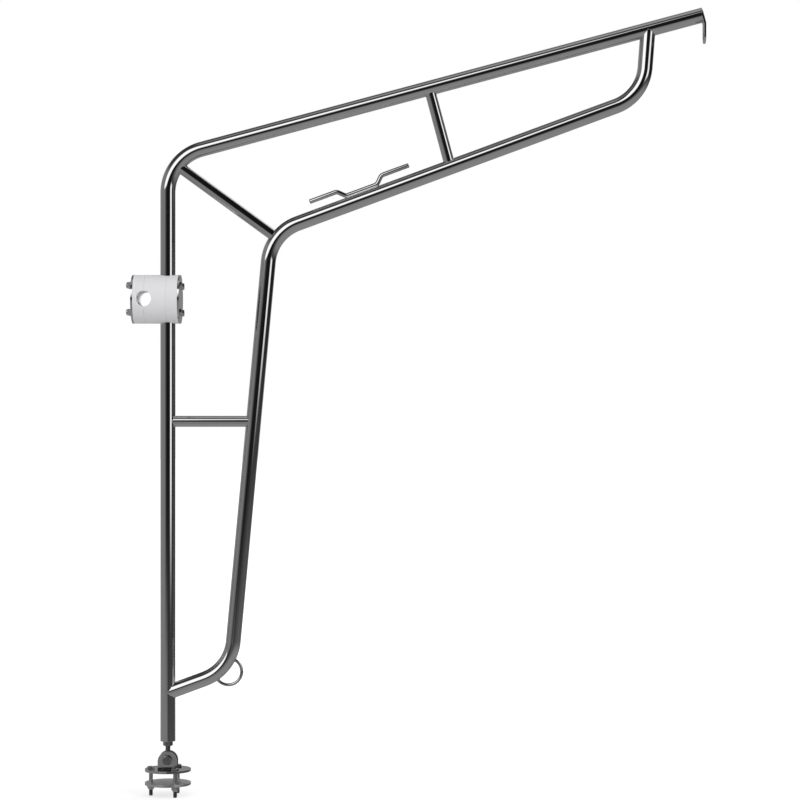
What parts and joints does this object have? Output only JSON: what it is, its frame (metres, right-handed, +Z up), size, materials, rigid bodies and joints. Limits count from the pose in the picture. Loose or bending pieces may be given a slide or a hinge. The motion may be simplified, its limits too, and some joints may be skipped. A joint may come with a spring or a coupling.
{
  "type": "davit crane",
  "caption": "Polished stainless tube davit crane with a braced boom, a tilting swivel deck foot, a rope cleat and a white plastic cross clamp for a rail.",
  "frame": {"origin": "on the deck's surface under the deck plate, on the mast's axis", "axes": "+Z up the mast, +X towards the boom's tip, +Y across the frame's plane"},
  "size_m": [1.1557, 0.0974, 1.5755],
  "materials": {
    "polished_tube": "mirror-polished stainless tube",
    "polished_fitting": "polished stainless plate and rod",
    "white_plastic": "turned white plastic, matte",
    "bearing_plastic": "natural bearing plastic",
    "plain_steel": "turned stainless",
    "fastener_steel": "satin stainless fasteners"
  },
  "bodies": {
    "base": {"deck_plate": "polished_fitting", "backing_plate": "polished_fitting", "front_ear": "polished_fitting", "rear_ear": "polished_fitting", "pivot_bolt": "fastener_steel", "pivot_washers": "fastener_steel", "pivot_spacers": "bearing_plastic", "pivot_nut": "fastener_steel", "deck_bolts": "fastener_steel", "deck_washers": "fastener_steel", "deck_nuts": "fastener_steel"},
    "tilting_eyebolt": {"eyebolt": "fastener_steel", "collar_nut": "fastener_steel", "thrust_washer": "bearing_plastic", "retaining_washer": "fastener_steel", "retaining_nut": "fastener_steel"},
    "frame": {"main_tube": "polished_tube", "brace_tube": "polished_tube", "knee_strut": "polished_tube", "boom_strut": "polished_tube", "mast_strut": "polished_tube", "tip_eye_plate": "polished_fitting", "rope_eye": "polished_fitting", "rope_cleat": "polished_fitting", "foot_plug": "plain_steel", "foot_bush": "bearing_plastic"},
    "clamp": {"clamp_rail_cap": "white_plastic", "clamp_middle_block": "white_plastic", "clamp_mast_cap": "white_plastic", "clamp_rail_disc": "polished_fitting", "clamp_mast_disc": "polished_fitting", "clamp_bolts": "fastener_steel", "clamp_washers": "fastener_steel", "clamp_nuts": "fastener_steel"}
  },
  "joints": [
    {"name": "base_tilt", "type": "hinge", "parent": "base", "child": "tilting_eyebolt", "pos_m": [0, 0, 0.024], "axis": [0, 1, 0], "range_deg": [-50, 50]},
    {"name": "mast_swivel", "type": "hinge", "parent": "tilting_eyebolt", "child": "frame", "pos_m": [0, 0, 0.06], "axis": [0, 0, 1], "continuous": true},
    {"name": "clamp_slide", "type": "slide", "parent": "tilting_eyebolt", "child": "clamp", "axis": [0, 0, 1], "range_m": [-0.17, 0.15]}
  ]
}
